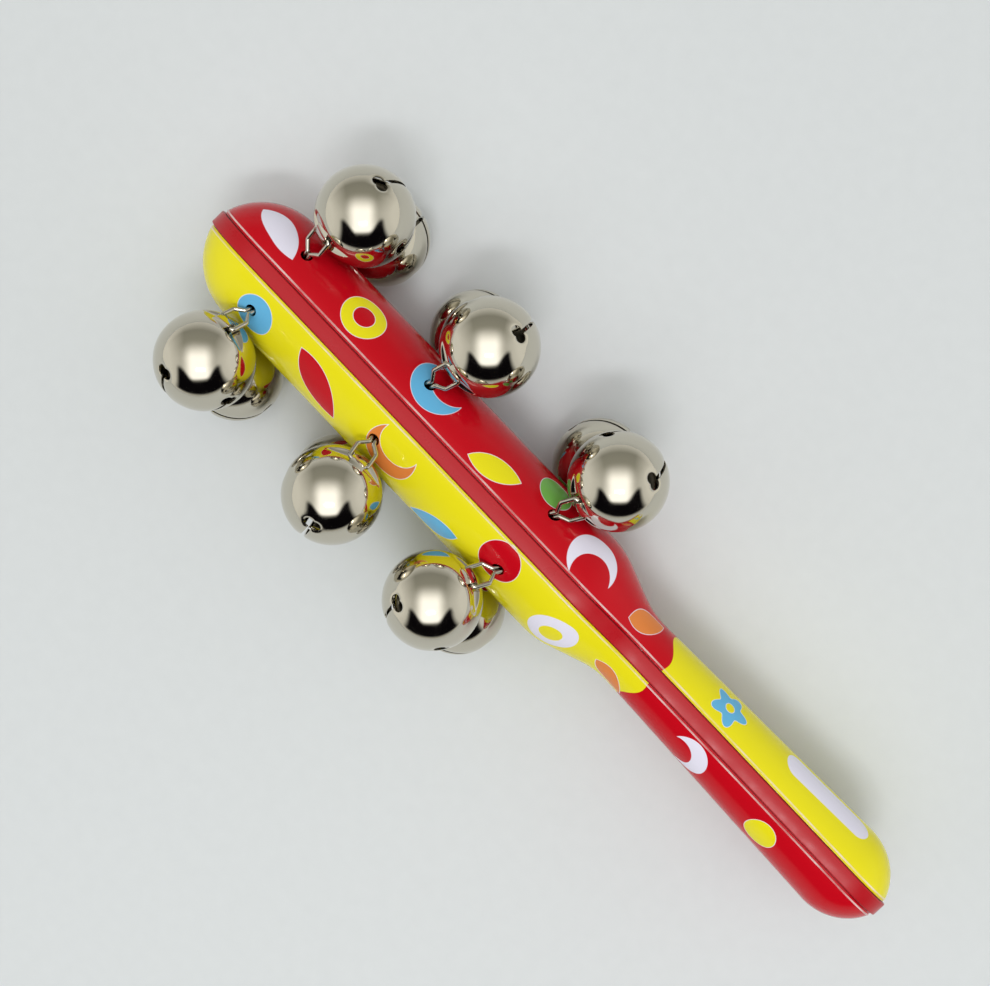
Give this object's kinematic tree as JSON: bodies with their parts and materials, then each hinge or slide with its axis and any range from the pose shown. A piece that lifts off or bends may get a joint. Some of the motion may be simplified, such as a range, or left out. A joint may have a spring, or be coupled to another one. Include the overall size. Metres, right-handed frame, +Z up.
{
  "type": "jingle stick",
  "caption": "Hand-held toy jingle stick: two pressed tinplate half shells on a plastic centre frame, with jingle bells on wire loop pins that swing and rattle when it is shaken.",
  "frame": {"origin": "on the bench under the middle of the stick, which lies on its lower bells", "axes": "+X along the stick from its tip to its handle end, +Y across the halves towards the front half, +Z up"},
  "size_m": [0.213, 0.0688, 0.0452],
  "materials": {
    "tin_red": "gloss lithographed tinplate",
    "tin_yellow": "gloss lithographed tinplate",
    "frame_red": "satin moulded plastic",
    "bell_nickel": "bright nickel plate",
    "pin_wire": "bright nickel-plated wire",
    "pellet_steel": "plain steel"
  },
  "bodies": {
    "stick": {"front_shell": "tin_red", "rear_shell": "tin_yellow", "centre_frame": "frame_red"},
    "pin_front_upper_1": {"pin_front_upper_1": "pin_wire"},
    "bell_front_upper_1": {"bell_front_upper_1": "bell_nickel"},
    "pellet_front_upper_1": {"pellet_front_upper_1": "pellet_steel"},
    "pin_front_upper_2": {"pin_front_upper_2": "pin_wire"},
    "bell_front_upper_2": {"bell_front_upper_2": "bell_nickel"},
    "pellet_front_upper_2": {"pellet_front_upper_2": "pellet_steel"},
    "pin_front_upper_3": {"pin_front_upper_3": "pin_wire"},
    "bell_front_upper_3": {"bell_front_upper_3": "bell_nickel"},
    "pellet_front_upper_3": {"pellet_front_upper_3": "pellet_steel"},
    "pin_rear_upper_1": {"pin_rear_upper_1": "pin_wire"},
    "bell_rear_upper_1": {"bell_rear_upper_1": "bell_nickel"},
    "pellet_rear_upper_1": {"pellet_rear_upper_1": "pellet_steel"},
    "pin_rear_upper_2": {"pin_rear_upper_2": "pin_wire"},
    "bell_rear_upper_2": {"bell_rear_upper_2": "bell_nickel"},
    "pellet_rear_upper_2": {"pellet_rear_upper_2": "pellet_steel"},
    "pin_rear_upper_3": {"pin_rear_upper_3": "pin_wire"},
    "bell_rear_upper_3": {"bell_rear_upper_3": "bell_nickel"},
    "pellet_rear_upper_3": {"pellet_rear_upper_3": "pellet_steel"},
    "pin_front_lower_1": {"pin_front_lower_1": "pin_wire"},
    "bell_front_lower_1": {"bell_front_lower_1": "bell_nickel"},
    "pellet_front_lower_1": {"pellet_front_lower_1": "pellet_steel"},
    "pin_front_lower_2": {"pin_front_lower_2": "pin_wire"},
    "bell_front_lower_2": {"bell_front_lower_2": "bell_nickel"},
    "pellet_front_lower_2": {"pellet_front_lower_2": "pellet_steel"},
    "pin_front_lower_3": {"pin_front_lower_3": "pin_wire"},
    "bell_front_lower_3": {"bell_front_lower_3": "bell_nickel"},
    "pellet_front_lower_3": {"pellet_front_lower_3": "pellet_steel"},
    "pin_rear_lower_1": {"pin_rear_lower_1": "pin_wire"},
    "bell_rear_lower_1": {"bell_rear_lower_1": "bell_nickel"},
    "pellet_rear_lower_1": {"pellet_rear_lower_1": "pellet_steel"},
    "pin_rear_lower_2": {"pin_rear_lower_2": "pin_wire"},
    "bell_rear_lower_2": {"bell_rear_lower_2": "bell_nickel"},
    "pellet_rear_lower_2": {"pellet_rear_lower_2": "pellet_steel"},
    "pin_rear_lower_3": {"pin_rear_lower_3": "pin_wire"},
    "bell_rear_lower_3": {"bell_rear_lower_3": "bell_nickel"},
    "pellet_rear_lower_3": {"pellet_rear_lower_3": "pellet_steel"}
  },
  "joints": [
    {"name": "swivel_front_upper_1", "type": "hinge", "parent": "stick", "child": "pin_front_upper_1", "pos_m": [-0.0837, 0.00851, 0.03501], "axis": [0.0211, 0.861, 0.5082], "range_deg": [-55, 55]},
    {"name": "swing_front_upper_1", "type": "hinge", "parent": "pin_front_upper_1", "child": "bell_front_upper_1", "pos_m": [-0.08356, 0.01422, 0.03838], "axis": [0.9619, -0.1561, 0.2246], "range_deg": [0, 90]},
    {"name": "roll_front_upper_1", "type": "hinge", "parent": "bell_front_upper_1", "child": "pellet_front_upper_1", "pos_m": [-0.0811, 0.02336, 0.0342], "axis": [0.2377, 0.8835, -0.4037], "continuous": true},
    {"name": "swivel_front_upper_2", "type": "hinge", "parent": "stick", "child": "pin_front_upper_2", "pos_m": [-0.0451, 0.00851, 0.03501], "axis": [0.2784, 0.8184, 0.5027], "range_deg": [-5, 85]},
    {"name": "swing_front_upper_2", "type": "hinge", "parent": "pin_front_upper_2", "child": "bell_front_upper_2", "pos_m": [-0.04325, 0.01394, 0.03834], "axis": [0.9579, -0.1984, -0.2076], "range_deg": [0, 90]},
    {"name": "roll_front_upper_2", "type": "hinge", "parent": "bell_front_upper_2", "child": "pellet_front_upper_2", "pos_m": [-0.0422, 0.02336, 0.0342], "axis": [0.1019, 0.9108, -0.4002], "continuous": true},
    {"name": "swivel_front_upper_3", "type": "hinge", "parent": "stick", "child": "pin_front_upper_3", "pos_m": [-0.0065, 0.00851, 0.03501], "axis": [0.4093, 0.8004, 0.438], "range_deg": [-5, 60]},
    {"name": "swing_front_upper_3", "type": "hinge", "parent": "pin_front_upper_3", "child": "bell_front_upper_3", "pos_m": [-0.00379, 0.01382, 0.03791], "axis": [0.8994, -0.273, -0.3416], "range_deg": [0, 85]},
    {"name": "roll_front_upper_3", "type": "hinge", "parent": "bell_front_upper_3", "child": "pellet_front_upper_3", "pos_m": [-0.0023, 0.02336, 0.0342], "axis": [0.1437, 0.9223, -0.3588], "continuous": true},
    {"name": "swivel_rear_upper_1", "type": "hinge", "parent": "stick", "child": "pin_rear_upper_1", "pos_m": [-0.0837, -0.00851, 0.03501], "axis": [-0.1447, -0.8404, 0.5222], "range_deg": [-20, 80]},
    {"name": "swing_rear_upper_1", "type": "hinge", "parent": "pin_rear_upper_1", "child": "bell_rear_upper_1", "pos_m": [-0.08466, -0.01408, 0.03847], "axis": [-0.9508, -0.028, -0.3086], "range_deg": [0, 94]},
    {"name": "roll_rear_upper_1", "type": "hinge", "parent": "bell_rear_upper_1", "child": "pellet_rear_upper_1", "pos_m": [-0.083, -0.02336, 0.0342], "axis": [0.1603, -0.8966, -0.4127], "continuous": true},
    {"name": "swivel_rear_upper_2", "type": "hinge", "parent": "stick", "child": "pin_rear_upper_2", "pos_m": [-0.0451, -0.00851, 0.03501], "axis": [0.2231, -0.8227, 0.5229], "range_deg": [-60, 10]},
    {"name": "swing_rear_upper_2", "type": "hinge", "parent": "pin_rear_upper_2", "child": "bell_rear_upper_2", "pos_m": [-0.04362, -0.01397, 0.03848], "axis": [-0.9728, -0.1536, 0.1734], "range_deg": [0, 91]},
    {"name": "roll_rear_upper_2", "type": "hinge", "parent": "bell_rear_upper_2", "child": "pellet_rear_upper_2", "pos_m": [-0.0429, -0.02336, 0.0342], "axis": [0.0697, -0.908, -0.4131], "continuous": true},
    {"name": "swivel_rear_upper_3", "type": "hinge", "parent": "stick", "child": "pin_rear_upper_3", "pos_m": [-0.0065, -0.00851, 0.03501], "axis": [-0.4339, -0.8018, 0.4109], "range_deg": [-5, 50]},
    {"name": "swing_rear_upper_3", "type": "hinge", "parent": "pin_rear_upper_3", "child": "bell_rear_upper_3", "pos_m": [-0.00938, -0.01383, 0.03773], "axis": [-0.8887, 0.3059, -0.3416], "range_deg": [0, 82]},
    {"name": "roll_rear_upper_3", "type": "hinge", "parent": "bell_rear_upper_3", "child": "pellet_rear_upper_3", "pos_m": [-0.0113, -0.02336, 0.0342], "axis": [-0.1859, -0.9214, -0.3414], "continuous": true},
    {"name": "swivel_front_lower_1", "type": "hinge", "parent": "stick", "child": "pin_front_lower_1", "pos_m": [-0.0837, 0.00851, 0.01019], "axis": [0.0489, 0.8884, -0.4565], "range_deg": [-55, 55]},
    {"name": "swing_front_lower_1", "type": "hinge", "parent": "pin_front_lower_1", "child": "bell_front_lower_1", "pos_m": [-0.08338, 0.0144, 0.00716], "axis": [-0.9203, 0.2177, 0.3251], "range_deg": [0, 86]},
    {"name": "roll_front_lower_1", "type": "hinge", "parent": "bell_front_lower_1", "child": "pellet_front_lower_1", "pos_m": [-0.0799, 0.02336, 0.011], "axis": [0.3358, 0.8659, 0.3706], "continuous": true},
    {"name": "swivel_front_lower_2", "type": "hinge", "parent": "stick", "child": "pin_front_lower_2", "pos_m": [-0.0451, 0.00851, 0.01019], "axis": [-0.0329, 0.874, -0.4848], "range_deg": [-55, 55]},
    {"name": "swing_front_lower_2", "type": "hinge", "parent": "pin_front_lower_2", "child": "bell_front_lower_2", "pos_m": [-0.04532, 0.01431, 0.00698], "axis": [-0.9428, -0.1881, -0.2752], "range_deg": [0, 89]},
    {"name": "roll_front_lower_2", "type": "hinge", "parent": "bell_front_lower_2", "child": "pellet_front_lower_2", "pos_m": [-0.0483, 0.02336, 0.011], "axis": [-0.2881, 0.8751, 0.3887], "continuous": true},
    {"name": "swivel_front_lower_3", "type": "hinge", "parent": "stick", "child": "pin_front_lower_3", "pos_m": [-0.0065, 0.00851, 0.01019], "axis": [-0.0072, 0.8338, -0.5521], "range_deg": [-55, 55]},
    {"name": "swing_front_lower_3", "type": "hinge", "parent": "pin_front_lower_3", "child": "bell_front_lower_3", "pos_m": [-0.00655, 0.01404, 0.00653], "axis": [-0.9989, -0.0317, -0.0348], "range_deg": [0, 94]},
    {"name": "roll_front_lower_3", "type": "hinge", "parent": "bell_front_lower_3", "child": "pellet_front_lower_3", "pos_m": [-0.007, 0.02336, 0.011], "axis": [-0.0437, 0.9009, 0.4318], "continuous": true},
    {"name": "swivel_rear_lower_1", "type": "hinge", "parent": "stick", "child": "pin_rear_lower_1", "pos_m": [-0.0837, -0.00851, 0.01019], "axis": [0.0243, -0.8583, -0.5126], "range_deg": [-55, 55]},
    {"name": "swing_rear_lower_1", "type": "hinge", "parent": "pin_rear_lower_1", "child": "bell_rear_lower_1", "pos_m": [-0.08354, -0.0142, 0.00679], "axis": [0.9664, 0.1514, -0.2076], "range_deg": [0, 91]},
    {"name": "roll_rear_lower_1", "type": "hinge", "parent": "bell_rear_lower_1", "child": "pellet_rear_lower_1", "pos_m": [-0.0812, -0.02336, 0.011], "axis": [0.226, -0.8852, 0.4066], "continuous": true},
    {"name": "swivel_rear_lower_2", "type": "hinge", "parent": "stick", "child": "pin_rear_lower_2", "pos_m": [-0.0451, -0.00851, 0.01019], "axis": [-0.0115, -0.8398, -0.5428], "range_deg": [-55, 55]},
    {"name": "swing_rear_lower_2", "type": "hinge", "parent": "pin_rear_lower_2", "child": "bell_rear_lower_2", "pos_m": [-0.04518, -0.01408, 0.00659], "axis": [0.9912, -0.0811, 0.1044], "range_deg": [0, 93]},
    {"name": "roll_rear_lower_2", "type": "hinge", "parent": "bell_rear_lower_2", "child": "pellet_rear_lower_2", "pos_m": [-0.0464, -0.02336, 0.011], "axis": [-0.1182, -0.897, 0.4258], "continuous": true},
    {"name": "swivel_rear_lower_3", "type": "hinge", "parent": "stick", "child": "pin_rear_lower_3", "pos_m": [-0.0065, -0.00851, 0.01019], "axis": [0.0091, -0.8361, -0.5485], "range_deg": [-55, 55]},
    {"name": "swing_rear_lower_3", "type": "hinge", "parent": "pin_rear_lower_3", "child": "bell_rear_lower_3", "pos_m": [-0.00644, -0.01405, 0.00655], "axis": [0.996, 0.0566, -0.0697], "range_deg": [0, 93]},
    {"name": "roll_rear_lower_3", "type": "hinge", "parent": "bell_rear_lower_3", "child": "pellet_rear_lower_3", "pos_m": [-0.0056, -0.02336, 0.011], "axis": [0.0811, -0.8994, 0.4295], "continuous": true}
  ]
}
